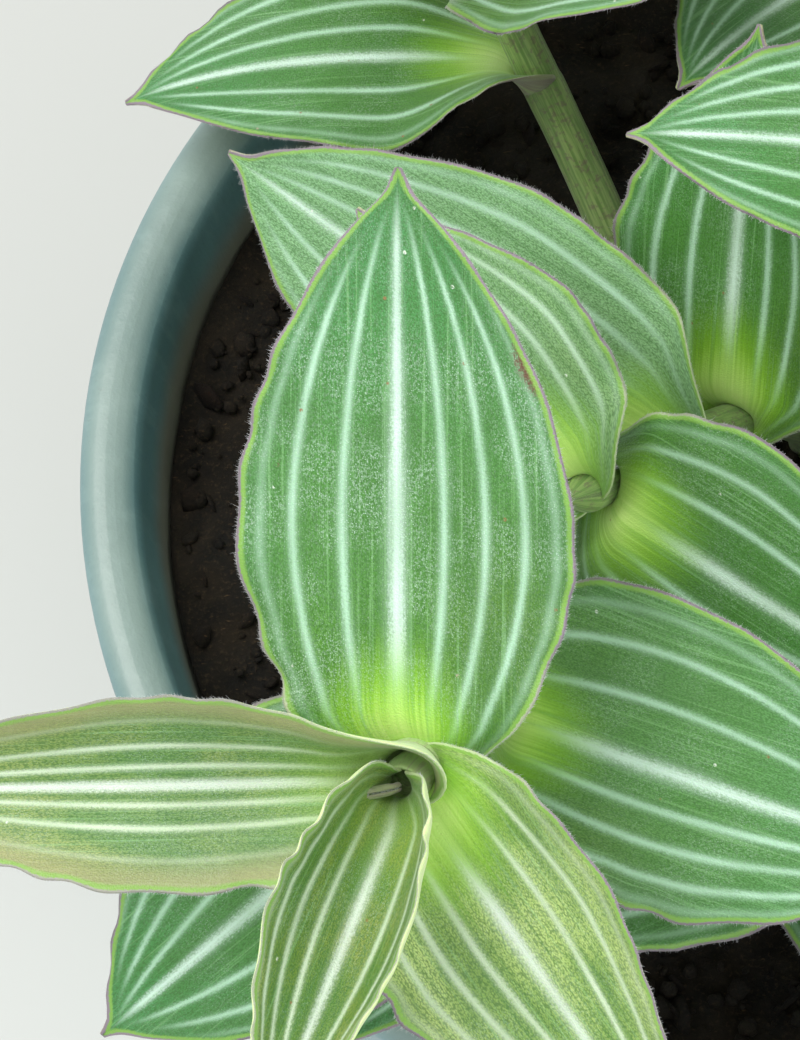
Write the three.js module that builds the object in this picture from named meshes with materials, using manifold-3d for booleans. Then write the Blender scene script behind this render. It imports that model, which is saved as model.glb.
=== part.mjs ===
// A striped inch plant in a plain round pot. Sizes are in millimetres and angles in degrees, +Z is up,
// and the origin is the middle of the pot's flat underside.
//
// The plant is nine leafy stems. A stem is a slim curved rod that stands in a hole in the soil. Each leaf
// clasps it with a short sheath, leaves it as a funnel and opens into a broad, pointed blade.
import * as THREE from "three";
import { mergeVertices } from "three/addons/utils/BufferGeometryUtils.js";
import Module from "manifold-3d";

const wasm = await Module();
wasm.setup();

// The pot and the soil
const POT_HEIGHT = 112;
const RIM_RADIUS = 83.5;
const MOUTH_RADIUS = 77;
const RIM_DEPTH = 20;
const RIM_ROUND = 3.2;
const RIM_STEP = 6; // how far the rim band's top stands out from the wall below it
const FOOT_RADIUS = 55;
const FOOT_CHAMFER = 2;
const WALL = 5;
const FLOOR = 6;
const DRAIN_RADIUS = 5;
const DRAIN_CIRCLE = 30;
const DRAINS = 4;
const POT_SIDES = 36;
const HOLE_SIDES = 10;
const SOIL_DROP = 12; // how far the soil lies below the rim
const SOIL_CROWN = 4; // how much it heaps up in the middle
const SOIL_WAVE = 0.9; // height of the slow waves in its surface
const SOIL_RINGS = 4;
const SOIL_SIDES = 22;
const GAP = 0.3;

// The stems
const STEM_RADIUS = 2.6;
const STEM_TAPER = 0.15; // share of the radius lost from foot to tip
const STEM_TIP = 0.7; // and how much more of it at the very tip
const STEM_SIDES = 7;
const STEM_ROOT = 22; // how deep a stem stands in the soil
const SHEATH_LENGTH = 7;
const SHEATH_WALL = 0.35;
const FOOT_SUNK = 0.3; // how deep a leaf's foot lies under the sheath's surface
const FRAME_STEPS = 24;

// The leaves
const LEAF_LENGTH = 57;
const LEAF_HALF_WIDTH = 17.2;
const LEAF_THICKNESS = 0.7;
const WIDEST = 0.38; // where a blade is widest, as a share of its length
const SHOULDER = 0.42; // how much narrower it is at its foot
const POINT = 1.7; // how it closes to its point
const POINT_DRAWN = 0.3; // and how far the point is drawn out
const TIP_END = 0.985; // a blade's last row, just short of the sharp tip
const CLASP = 160; // how far round the stem each half of a leaf's foot reaches
const CLASP_FADE = 0.042; // how soon the funnel opens, as a share of the length
const BEND_END = 0.14; // where a leaf has turned from the stem's direction to its own
const SIDE_STEPS = 16;
const RIB_STEPS = 40;
const TIDY = 0.02; // edges shorter than this are closed up after joining
const TURN = 137.5; // from one leaf to the next round the stem
const RIM_CLEAR = 4; // how far leaf tips stay above the level of the rim

// The blades' waved edges and rolled funnels
const WAVE_FADE = 0.3; // how soon the waves calm down along a leaf
const WAVE_REST = 0.25; // and how much of them stays to the tip
const ROLL_FADE = 0.22; // how soon the outward roll of the funnel's rim ends

const rad = Math.PI / 180;
const clamp01 = (x) => Math.min(1, Math.max(0, x));
const smooth = (a, b, x) => {
  const s = clamp01((x - a) / (b - a));
  return s * s * (3 - 2 * s);
};
const up = new THREE.Vector3(0, 0, 1);
const sum = (...pairs) => {
  const out = new THREE.Vector3();
  for (const [v, k] of pairs) out.addScaledVector(v, k);
  return out;
};

// Closed solids

// A closed geometry as a manifold-3d solid.
function solid(geometry) {
  const bare = (geometry.index ? geometry.toNonIndexed() : geometry.clone())
    .deleteAttribute("normal")
    .deleteAttribute("uv");
  const merged = mergeVertices(bare, 1e-4);
  return new wasm.Manifold(
    new wasm.Mesh({
      numProp: 3,
      vertProperties: merged.attributes.position.array,
      triVerts: new Uint32Array(merged.index.array),
    }),
  );
}

// The largest closed body of a solid, without the hollows that joining has sealed in it.
function outerBody(made) {
  const bodies = made.decompose().filter((b) => b.volume() > 0);
  return bodies.reduce((a, b) => (a.volume() > b.volume() ? a : b));
}

function geometryOf(made) {
  const mesh = made.getMesh();
  const position = new Float32Array(mesh.numVert * 3);
  for (let i = 0; i < mesh.numVert; i++)
    position.set(mesh.vertProperties.subarray(i * mesh.numProp, i * mesh.numProp + 3), i * 3);
  return new THREE.BufferGeometry()
    .setAttribute("position", new THREE.BufferAttribute(position, 3))
    .setIndex(new THREE.BufferAttribute(mesh.triVerts, 1));
}

function named(name, geometry, material) {
  const mesh = new THREE.Mesh(geometry, material);
  mesh.name = name;
  return mesh;
}

// A geometry from points and triangles of their numbers.
function faceted(points, triangles) {
  const g = new THREE.BufferGeometry().setFromPoints(points);
  g.setIndex(triangles);
  return g;
}

// A profile of [radius, height] points turned about Z. The profile starts and ends on the axis.
function turned(profile, sides) {
  const lathe = new THREE.LatheGeometry(
    profile.map(([r, z]) => new THREE.Vector2(r, z)),
    sides,
  );
  return lathe.rotateX(Math.PI / 2);
}

// The pot

const SOIL_TOP = POT_HEIGHT - SOIL_DROP;
// Radius of the pot's outside at a height, below its rim band.
const potRadius = (z) =>
  FOOT_RADIUS + ((RIM_RADIUS - RIM_STEP - FOOT_RADIUS) * z) / (POT_HEIGHT - RIM_DEPTH);
// Radius of the pot's inside at a height.
const insideRadius = (z) =>
  MOUTH_RADIUS + ((FOOT_RADIUS - WALL - MOUTH_RADIUS) * (POT_HEIGHT - z)) / (POT_HEIGHT - FLOOR);

function pot() {
  const band = POT_HEIGHT - RIM_DEPTH;
  const profile = [
    [0, 0],
    [FOOT_RADIUS - FOOT_CHAMFER, 0],
    [FOOT_RADIUS, FOOT_CHAMFER],
    [potRadius(band), band],
    [RIM_RADIUS - 1, band + 3],
    [RIM_RADIUS, POT_HEIGHT - RIM_ROUND],
    [RIM_RADIUS - RIM_ROUND * 0.35, POT_HEIGHT - RIM_ROUND * 0.35],
    [RIM_RADIUS - RIM_ROUND, POT_HEIGHT],
    [MOUTH_RADIUS + RIM_ROUND, POT_HEIGHT],
    [MOUTH_RADIUS + RIM_ROUND * 0.35, POT_HEIGHT - RIM_ROUND * 0.35],
    [MOUTH_RADIUS, POT_HEIGHT - RIM_ROUND],
    [insideRadius(FLOOR), FLOOR],
    [0, FLOOR],
  ];
  let made = solid(turned(profile, POT_SIDES));
  for (let i = 0; i < DRAINS; i++) {
    const angle = ((i + 0.5) / DRAINS) * 2 * Math.PI;
    const drill = new THREE.CylinderGeometry(DRAIN_RADIUS, DRAIN_RADIUS, 4 * FLOOR, HOLE_SIDES)
      .rotateX(Math.PI / 2)
      .translate(DRAIN_CIRCLE * Math.cos(angle), DRAIN_CIRCLE * Math.sin(angle), 0);
    made = made.subtract(solid(drill));
  }
  return made;
}

// Height of the soil at a place: a low heap with two slow waves in it.
function soilHeight(x, y) {
  const r = Math.hypot(x, y) / MOUTH_RADIUS;
  return SOIL_TOP + SOIL_CROWN * (1 - r * r) + SOIL_WAVE * Math.sin(x / 9 + 1) * Math.cos(y / 11 - 0.5);
}

// The soil: a plug that fills the pot, with a hole for each stem's foot.
function soil(feet) {
  const [rings, sides] = [SOIL_RINGS, SOIL_SIDES];
  const low = FLOOR + GAP;
  const lowRadius = insideRadius(low) - GAP;
  const points = [new THREE.Vector3(0, 0, low)];
  for (let j = 0; j < sides; j++) {
    const a = (j / sides) * 2 * Math.PI;
    points.push(new THREE.Vector3(lowRadius * Math.cos(a), lowRadius * Math.sin(a), low));
  }
  for (let i = 0; i < rings; i++)
    for (let j = 0; j < sides; j++) {
      const a = (j / sides) * 2 * Math.PI;
      const r = ((insideRadius(SOIL_TOP) - 2 * GAP) * (rings - i)) / rings;
      const [x, y] = [r * Math.cos(a), r * Math.sin(a)];
      points.push(new THREE.Vector3(x, y, soilHeight(x, y)));
    }
  points.push(new THREE.Vector3(0, 0, soilHeight(0, 0)));
  const last = points.length - 1;
  const triangles = [];
  for (let j = 0; j < sides; j++) {
    const k = (j + 1) % sides;
    triangles.push(0, 1 + k, 1 + j);
    for (let i = 0; i < rings; i++) {
      const [a, b] = [1 + i * sides, 1 + (i + 1) * sides];
      triangles.push(a + j, a + k, b + j, a + k, b + k, b + j);
    }
    triangles.push(1 + rings * sides + j, 1 + rings * sides + k, last);
  }
  let made = solid(faceted(points, triangles));
  for (const [x, y] of feet) {
    const r = STEM_RADIUS + SHEATH_WALL + GAP;
    const hole = new THREE.CylinderGeometry(r, r, 2 * STEM_ROOT + 2 * GAP, HOLE_SIDES)
      .rotateX(Math.PI / 2)
      .translate(x, y, soilHeight(x, y));
    made = made.subtract(solid(hole));
  }
  return made;
}

// Stems

// A stem's middle line: straight up out of the soil, then one cubic curve to the tip.
function stemLine(shoot) {
  const [x, y] = shoot.foot;
  const foot = new THREE.Vector3(x, y, soilHeight(x, y) + 1);
  const tip = new THREE.Vector3(...shoot.tip).add(new THREE.Vector3(0, 0, POT_HEIGHT));
  const reach = foot.distanceTo(tip);
  const heading = new THREE.Vector3(...shoot.heading).normalize();
  const rise = new THREE.Vector3(...shoot.rise).normalize();
  return new THREE.CubicBezierCurve3(
    foot,
    sum([foot, 1], [rise, 0.38 * reach]),
    sum([tip, 1], [heading, -0.38 * reach]),
    tip,
  );
}

// The place, direction and two side directions of a stem at q along its curve. The sides are carried up
// from the foot without turning about the stem.
function stemFrame(line, q) {
  let side = new THREE.Vector3(1, 0, 0);
  let along = up;
  for (let i = 0; i <= FRAME_STEPS; i++) {
    along = line.getTangent((q * i) / FRAME_STEPS);
    side = sum([side, 1], [along, -side.dot(along)]).normalize();
  }
  return { at: line.getPoint(q), along, side, across: new THREE.Vector3().crossVectors(along, side) };
}

const stemRadius = (q) => STEM_RADIUS * (1 - STEM_TAPER * q) * (1 - STEM_TIP * smooth(0.93, 1, q));

// A closed tube through rings of {at, side, across, radius}.
function tube(rings, sides) {
  const points = [];
  const triangles = [];
  for (const ring of rings)
    for (let j = 0; j < sides; j++) {
      const a = (j / sides) * 2 * Math.PI;
      points.push(
        sum([ring.at, 1], [ring.side, ring.radius * Math.cos(a)], [ring.across, ring.radius * Math.sin(a)]),
      );
    }
  for (let i = 0; i + 1 < rings.length; i++)
    for (let j = 0; j < sides; j++) {
      const k = (j + 1) % sides;
      const [a, b] = [i * sides, (i + 1) * sides];
      triangles.push(a + j, a + k, b + j, a + k, b + k, b + j);
    }
  const top = (rings.length - 1) * sides;
  for (let j = 1; j + 1 < sides; j++) {
    triangles.push(0, j + 1, j);
    triangles.push(top, top + j, top + j + 1);
  }
  return faceted(points, triangles);
}

// A stem from its root in the soil to its tip, thicker along each leaf's sheath.
function stem(line, leaves) {
  const length = line.getLength();
  const foot = stemFrame(line, 0);
  const down = { ...foot, side: new THREE.Vector3(1, 0, 0), across: new THREE.Vector3(0, 1, 0) };
  const rings = [
    { ...down, at: sum([foot.at, 1], [up, -STEM_ROOT]), radius: STEM_RADIUS },
    { ...down, at: sum([foot.at, 1], [up, -1]), radius: STEM_RADIUS },
  ];
  const sheath = SHEATH_LENGTH / length;
  let from = 0;
  for (const leaf of leaves) {
    const low = Math.max(leaf.q - sheath, from + 0.01);
    if (low < leaf.q) rings.push({ ...stemFrame(line, low), radius: stemRadius(low) });
    rings.push({ ...stemFrame(line, leaf.q), radius: stemRadius(leaf.q) + SHEATH_WALL + leaf.room });
    from = leaf.q;
  }
  const last = Math.min(from + 0.02, 1.0);
  rings.push({ ...stemFrame(line, last), radius: stemRadius(last) * 0.5 });
  return tube(rings, STEM_SIDES);
}

// Leaves

// Half the width of a blade at t along it, as a share of its widest: round shoulders, then a long point.
function outline(t, { shoulder, point, widest }) {
  if (t < widest) return 1 - shoulder * ((widest - t) / widest) ** 2;
  const s = (t - widest) / (1 - widest);
  return (1 - s ** point) ** (1 + POINT_DRAWN * s ** 6);
}

// A leaf's middle rib: points, directions and upper-side normals at RIB_STEPS + 1 places. It leaves the stem
// nearly along it, turns to its own angle and then arches over. The blade turns its upper side to the light.
function rib(leaf, frame, radius) {
  const { along } = frame;
  const angle = leaf.azimuth * rad;
  const out = sum([frame.side, Math.cos(angle)], [frame.across, Math.sin(angle)]);
  const places = [];
  let at = sum([frame.at, 1], [out, radius]);
  for (let i = 0; i <= RIB_STEPS; i++) {
    const t = i / RIB_STEPS;
    const lean = (8 + (leaf.open - 8) * smooth(0, BEND_END, t) + leaf.droop * t ** 1.5) * rad;
    const ahead = sum([along, Math.cos(lean)], [out, Math.sin(lean)]);
    const inner = sum([along, Math.sin(lean)], [out, -Math.cos(lean)]);
    const light = sum([up, 1], [ahead, -up.dot(ahead)]);
    const turn = leaf.light * smooth(0.03, 0.35, t);
    const face = sum([inner, 1 - turn], [light, turn]).normalize();
    places.push({ at, ahead, face, side: new THREE.Vector3().crossVectors(ahead, face) });
    at = sum([at, 1], [ahead, leaf.length / RIB_STEPS]);
  }
  return places;
}

function ribAt(places, t) {
  const x = t * RIB_STEPS;
  const i = Math.min(RIB_STEPS - 1, Math.floor(x));
  const mix = (key) => sum([places[i][key], i + 1 - x], [places[i + 1][key], x - i]);
  return { at: mix("at"), side: mix("side").normalize(), face: mix("face").normalize() };
}

// The point of a leaf's middle surface at t along it and v across it, from -1 to 1. The section across is a
// curve that wraps the stem at the foot, opens to a shallow trough, and rolls outward at the funnel's rim.
function leafPoint(leaf, places, radius, t, v) {
  const { at, side, face } = ribAt(places, t);
  const half = leaf.halfWidth * outline(t, leaf) * (1 + leaf.skew * Math.sign(v));
  const clasp = leaf.clasp + leaf.grip * Math.sign(v);
  const foot = radius * clasp * rad;
  const width = foot + (half - foot) * smooth(0, 0.13, t);
  const wrap = ((clasp - leaf.cup) * Math.exp(-t / leaf.fade) + leaf.cup) * rad;
  const roll = leaf.roll * Math.exp(-t / ROLL_FADE) * smooth(0.01, 0.06, t) * rad;
  let across = 0;
  let rise = 0;
  for (let i = 0; i < SIDE_STEPS; i++) {
    const s = ((i + 0.5) / SIDE_STEPS) * Math.abs(v);
    const slope = wrap * s - roll * smooth(0.45, 1, s);
    across += Math.cos(slope);
    rise += Math.sin(slope);
  }
  const step = (width * Math.abs(v)) / SIDE_STEPS;
  const swell = Math.exp(-t / WAVE_FADE) + WAVE_REST;
  const wave = leaf.wave * swell * smooth(0.04, 0.12, t) * Math.abs(v) ** 3;
  const ripple = Math.sin(2 * Math.PI * (leaf.waves * t + 0.37 * leaf.phase + 0.31 * Math.sign(v)));
  return sum(
    [at, 1],
    [side, Math.sign(v) * across * step + leaf.shift * smooth(0, 0.15, t)],
    [face, rise * step + wave * ripple],
  );
}

// A leaf as a closed thin shell, with the same triangles on its upper and lower faces.
function blade(leaf, frame, radius) {
  const places = rib(leaf, frame, radius);
  const { rows, columns } = leaf;
  const grid = (t, v) => leafPoint(leaf, places, radius, t, v);
  const ts = Array.from({ length: rows + 1 }, (_, i) => TIP_END * (i / rows) ** 1.15);
  const vs = Array.from({ length: columns + 1 }, (_, j) => (2 * j) / columns - 1);
  const upper = [];
  const lower = [];
  for (const t of ts)
    for (const v of vs) {
      const e = 1e-3;
      const dt = grid(Math.min(1, t + e), v).sub(grid(Math.max(0, t - e), v));
      const dv = grid(t, v + e).sub(grid(t, v - e));
      const normal = new THREE.Vector3().crossVectors(dv, dt).normalize();
      const p = grid(t, v);
      upper.push(sum([p, 1], [normal, LEAF_THICKNESS / 2]));
      lower.push(sum([p, 1], [normal, -LEAF_THICKNESS / 2]));
    }
  const n = upper.length;
  const m = columns + 1;
  const triangles = [];
  for (let i = 0; i < rows; i++)
    for (let j = 0; j < columns; j++) {
      const [a, b, c, d] = [i * m + j, i * m + j + 1, (i + 1) * m + j + 1, (i + 1) * m + j];
      triangles.push(a, b, c, a, c, d);
      triangles.push(n + a, n + c, n + b, n + a, n + d, n + c);
    }
  const edge = (a, b) => triangles.push(a, n + b, b, a, n + a, n + b);
  for (let j = 0; j < columns; j++) {
    edge(j, j + 1);
    edge(rows * m + j + 1, rows * m + j);
  }
  for (let i = 0; i < rows; i++) {
    edge((i + 1) * m, i * m);
    edge(i * m + columns, (i + 1) * m + columns);
  }
  return faceted([...upper, ...lower], triangles);
}

// How far a leaf may lean from its stem before its tip, which is "length" away, comes down to the pot's rim.
function leanToRim(frame, out, length) {
  const drop = (frame.at.z - POT_HEIGHT - RIM_CLEAR) / length;
  const tilt = Math.hypot(frame.along.z, out.z);
  return (Math.atan2(out.z, frame.along.z) + Math.acos(Math.max(-1, Math.min(1, -drop / tilt)))) / rad;
}

// A leaf at q along its stem. "size" is its share of a full leaf, "open" its angle from the stem.
const leafAt = (q, azimuth, size, open, more = {}) => ({
  q,
  azimuth,
  length: LEAF_LENGTH * size,
  halfWidth: LEAF_HALF_WIDTH * size ** 0.9,
  open,
  droop: 6,
  cup: 14,
  clasp: CLASP,
  grip: 0,
  shoulder: SHOULDER,
  point: POINT,
  widest: WIDEST,
  fade: CLASP_FADE,
  roll: 30,
  light: 0,
  wave: 0.8,
  waves: 3,
  phase: 0,
  skew: 0,
  shift: 0,
  room: 0,
  rows: 8,
  columns: 6,
  ...more,
});

// The leaves of a shoot by rule, from the lowest to the youngest. Older leaves are larger, flatter and stand
// further from the stem; the youngest is still a rolled spear. Leaves that point to the middle of the pot,
// where it is crowded, are smaller and steeper.
function leavesByRule(shoot, line) {
  return Array.from({ length: shoot.count }, (_, k) => {
    const s = k / (shoot.count - 1);
    const q = shoot.bare + (1 - shoot.bare) * (1 - (1 - s) ** 1.5);
    const azimuth = shoot.turn + k * TURN;
    const frame = stemFrame(line, q);
    const out = sum([frame.side, Math.cos(azimuth * rad)], [frame.across, Math.sin(azimuth * rad)]);
    const reach = Math.hypot(frame.at.x, frame.at.y);
    const inward = Math.max(0, -(out.x * frame.at.x + out.y * frame.at.y) / (reach + 10));
    const size = (1 - 0.6 * s ** 4) * (0.88 + 0.12 * smooth(0, 0.4, s)) * (1 - 0.25 * inward);
    const droop = 8 + 20 * (1 - s);
    const open = (105 - 93 * s ** 2.2) * (1 - 0.3 * inward);
    const highest = leanToRim(frame, out, LEAF_LENGTH * size) - droop / 2;
    return leafAt(q, azimuth, size, Math.min(open, highest), {
      droop,
      cup: 14 + 140 * s ** 8,
      light: 0.7 * (1 - s ** 4),
      phase: k,
      rows: 6,
      columns: 4,
    });
  });
}

const SHOOTS = [
  {
    name: "leafy_stem_front_left",
    foot: [-14, -7],
    rise: [-0.26, -0.5, 0.83],
    tip: [-46.4, -58.4, 57.2],
    heading: [-0.22, -0.48, 0.84],
    leaves: [
      leafAt(0.5, 243, 0.9, 62, { droop: 6 }),
      leafAt(0.66, 348, 1.0, 86, { halfWidth: 17.8, skew: -0.12, shift: -1.4, droop: 6, phase: 1 }),
      leafAt(0.77, 222, 0.95, 84, { droop: 6 }),
      leafAt(0.885, 88.8, 1.1, 88, {
        halfWidth: 17.2,
        skew: 0.07,
        shift: -1.2,
        shoulder: 0.65,
        point: 1.87,
        widest: 0.43,
        droop: 2,
        phase: 1,
        rows: 10,
      }),
      leafAt(0.92, 308, 0.85, 84, { halfWidth: 14, cup: 45, fade: 0.035, phase: 2 }),
      leafAt(0.95, 183, 1.05, 82, {
        halfWidth: 11.2,
        cup: 56,
        clasp: 167,
        grip: 78,
        fade: 0.09,
        roll: 70,
        shift: 0.8,
        room: 1.5,
        phase: 3,
        columns: 10,
      }),
      leafAt(0.99, 256, 0.7, 45, {
        halfWidth: 10.5,
        shoulder: 0.25,
        skew: 0.05,
        cup: 65,
        clasp: 175,
        fade: 0.35,
        roll: 60,
        shift: -1,
        room: 1.1,
        phase: 4,
      }),
      leafAt(1.0, 184, 0.13, 42, { halfWidth: 1.8, cup: 150, clasp: 150, fade: 0.3, roll: 0, wave: 0 }),
    ],
  },
  {
    name: "leafy_stem_middle_left",
    foot: [2, 6],
    rise: [-0.25, -0.15, 0.95],
    tip: [-29, -22.5, 42.7],
    heading: [-0.45, -0.5, 0.74],
    leaves: [
      leafAt(0.4, 70, 0.85, 75),
      leafAt(0.58, 139, 1.1, 80, { droop: 6 }),
      leafAt(0.85, 326, 0.88, 84, { halfWidth: 16, droop: 8 }),
      leafAt(0.93, 120, 0.68, 86, { halfWidth: 15.5 }),
      leafAt(1.0, 200, 0.25, 70, { cup: 60, clasp: 90, fade: 0.3, roll: 0, wave: 0 }),
    ],
  },
  {
    name: "leafy_stem_front",
    foot: [4, -26],
    rise: [0, -0.3, 0.9],
    tip: [3, -36, 14],
    heading: [0, -0.2, 0.9],
    turn: 290,
    count: 5,
    bare: 0.45,
  },
  {
    name: "leafy_stem_back_left",
    foot: [-18, 24],
    rise: [-0.3, 0.5, 0.8],
    tip: [-42, 60, 40],
    heading: [-0.2, 0.3, 0.9],
    turn: 180,
    count: 5,
    bare: 0.45,
  },
  {
    name: "leafy_stem_back",
    foot: [8, 36],
    rise: [0.1, 0.5, 0.8],
    tip: [14, 76, 52],
    heading: [0.1, 0.3, 0.9],
    turn: 230,
    count: 7,
    bare: 0.4,
  },
  {
    name: "leafy_stem_back_right",
    foot: [32, 20],
    rise: [0.5, 0.3, 0.8],
    tip: [70, 42, 44],
    heading: [0.3, 0.2, 0.9],
    turn: 130,
    count: 7,
    bare: 0.4,
  },
  {
    name: "leafy_stem_right",
    foot: [36, -12],
    rise: [0.5, -0.2, 0.8],
    tip: [92, -24, 22],
    heading: [0.8, -0.1, 0.4],
    turn: 280,
    count: 7,
    bare: 0.4,
  },
  {
    name: "leafy_stem_front_right",
    foot: [28, -30],
    rise: [0.3, -0.5, 0.8],
    tip: [46, -72, 38],
    heading: [0.2, -0.3, 0.9],
    turn: 70,
    count: 7,
    bare: 0.4,
  },
  {
    name: "leafy_stem_middle",
    foot: [18, 4],
    rise: [0.1, 0.1, 0.95],
    tip: [22, 8, 80],
    heading: [0, 0, 1],
    turn: 260,
    count: 8,
    bare: 0.5,
  },
];

// A leafy stem: the stem and its leaves, joined.
function leafyStem(shoot) {
  const line = stemLine(shoot);
  const leaves = shoot.leaves ?? leavesByRule(shoot, line);
  let made = solid(stem(line, leaves));
  for (const leaf of leaves) {
    const radius = stemRadius(leaf.q) + leaf.room - FOOT_SUNK;
    made = made.add(solid(blade(leaf, stemFrame(line, leaf.q), radius)));
  }
  return outerBody(made.simplify(TIDY));
}

const glaze = new THREE.MeshStandardMaterial({ color: 0x5f8688, roughness: 0.35, metalness: 0 });
const peat = new THREE.MeshStandardMaterial({ color: 0x2b211a, roughness: 1, metalness: 0 });
const foliage = new THREE.MeshStandardMaterial({ color: 0x6fa862, roughness: 0.6, metalness: 0 });

const plant = new THREE.Group();
plant.add(named("pot", geometryOf(pot()), glaze));
plant.add(named("soil", geometryOf(soil(SHOOTS.map((s) => s.foot))), peat));
for (const shoot of SHOOTS) plant.add(named(shoot.name, geometryOf(leafyStem(shoot)), foliage));

export default plant;
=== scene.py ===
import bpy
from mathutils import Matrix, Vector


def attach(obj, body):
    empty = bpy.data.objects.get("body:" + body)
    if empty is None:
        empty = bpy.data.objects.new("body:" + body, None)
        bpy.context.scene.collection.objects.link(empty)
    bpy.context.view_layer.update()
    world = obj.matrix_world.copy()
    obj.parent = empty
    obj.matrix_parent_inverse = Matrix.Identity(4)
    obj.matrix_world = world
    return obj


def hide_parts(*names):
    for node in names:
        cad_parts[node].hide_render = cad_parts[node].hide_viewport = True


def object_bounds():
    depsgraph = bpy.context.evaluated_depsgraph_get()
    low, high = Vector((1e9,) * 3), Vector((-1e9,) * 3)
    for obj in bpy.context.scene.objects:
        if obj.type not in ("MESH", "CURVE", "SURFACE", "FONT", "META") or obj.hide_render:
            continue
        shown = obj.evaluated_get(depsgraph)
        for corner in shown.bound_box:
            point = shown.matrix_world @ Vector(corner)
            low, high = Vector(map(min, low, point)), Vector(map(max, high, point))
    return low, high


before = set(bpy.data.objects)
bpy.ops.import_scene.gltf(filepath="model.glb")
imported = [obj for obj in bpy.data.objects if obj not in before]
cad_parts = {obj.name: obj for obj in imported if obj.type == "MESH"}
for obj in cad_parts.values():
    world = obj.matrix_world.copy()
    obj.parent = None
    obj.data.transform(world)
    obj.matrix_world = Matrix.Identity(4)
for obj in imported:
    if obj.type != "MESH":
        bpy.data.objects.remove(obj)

from types import SimpleNamespace

import bpy
import numpy as np
from mathutils import Vector

cad_box = [list(corner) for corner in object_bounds()]


# The soil. Dark, moist peat, painted darker still for the shade it lies in, with crumbs and bits of bark in
# it, filled into the pot and heaped a little in the middle. The feet of the stems stand in it.

MM = 0.001
POT_HEIGHT = 112
MOUTH_RADIUS = 77
FOOT_RADIUS = 55
WALL = 5
FLOOR = 6
SOIL_TOP = POT_HEIGHT - 12
SOIL_CROWN = 4
SOIL_WAVE = 0.9
SOIL_GAP = 0.3
SOIL_SUNK = 0.6  # depth of the lumps' middle below the heap
SOIL_SIDES = 260
SOIL_RINGS = 96
LUMPS = ((8, 1.3, 1), (3.4, 0.8, 2), (1.5, 0.45, 3))  # their width, height and seed
CRUMBS = 2600
CRUMB_EDGE = 5.5
BARK_SHARE = 0.17


def smooth(a, b, x):
    """0 below a, 1 above b, and 3s^2 - 2s^3 between, where s is the share of the way from a to b."""
    s = np.clip((np.asarray(x, float) - a) / (b - a), 0, 1)
    return s * s * (3 - 2 * s)


def inside_radius(z):
    """The pot's inner radius at a height: a straight taper from the mouth to the floor."""
    return MOUTH_RADIUS + (FOOT_RADIUS - WALL - MOUTH_RADIUS) * (POT_HEIGHT - z) / (POT_HEIGHT - FLOOR)


def soil_height(x, y):
    """A low heap, which falls with the square of the radius, with two slow waves in it."""
    share = np.hypot(x, y) / MOUTH_RADIUS
    return SOIL_TOP + SOIL_CROWN * (1 - share * share) + SOIL_WAVE * np.sin(x / 9 + 1) * np.cos(y / 11 - 0.5)


def lumps(x, y, size, seed):
    """Values from -1 to 1 at random lattice points "size" apart, joined by smooth steps in x and in y."""
    values = np.random.default_rng(seed).uniform(-1, 1, (97, 97))
    u, w = np.asarray(x) / size + 48, np.asarray(y) / size + 48
    i, j = np.floor(u).astype(int) % 96, np.floor(w).astype(int) % 96
    a, b = smooth(0, 1, u - np.floor(u)), smooth(0, 1, w - np.floor(w))
    low = values[i, j] * (1 - a) + values[i + 1, j] * a
    high = values[i, j + 1] * (1 - a) + values[i + 1, j + 1] * a
    return low * (1 - b) + high * b


def places(x, y, z):
    """Places, or other sets of three, from their parts, which are spread to one shape."""
    return np.stack(np.broadcast_arrays(x, y, z), axis=-1)


def ring_faces(rows, ring):
    """Triangles of a lattice of rows, each a closed ring of points: two for each of its cells."""
    i, j = np.meshgrid(np.arange(rows - 1), np.arange(ring), indexing="ij")
    a, b = i * ring + j, i * ring + (j + 1) % ring
    return np.stack([a, b, b + ring, a, b + ring, a + ring], axis=-1).reshape(-1, 3)


def fan_faces(ring, middle, first=0, turned=False):
    """Triangles from each side of a closed ring of points to one middle point."""
    j = np.arange(ring)
    a, b = j + first, (j + 1) % ring + first
    return np.stack([b, a, np.full(ring, middle)] if turned else [a, b, np.full(ring, middle)], axis=-1)


def closed_skin(rings, first, last, flipped=False):
    """A closed skin: triangles over rings of points, and a fan to a middle point at either end."""
    rows, ring = rings.shape[:2]
    count = rows * ring
    lattice = ring_faces(rows, ring)
    faces = np.concatenate([
        lattice[:, ::-1] if flipped else lattice,
        fan_faces(ring, count, turned=not flipped),
        fan_faces(ring, count + 1, count - ring, turned=flipped),
    ])
    return np.concatenate([rings.reshape(-1, 3), [first, last]]), faces


def placed(name, data):
    """A new object of the scene, made from its data."""
    made = bpy.data.objects.new(name, data)
    bpy.context.scene.collection.objects.link(made)
    return made


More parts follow.
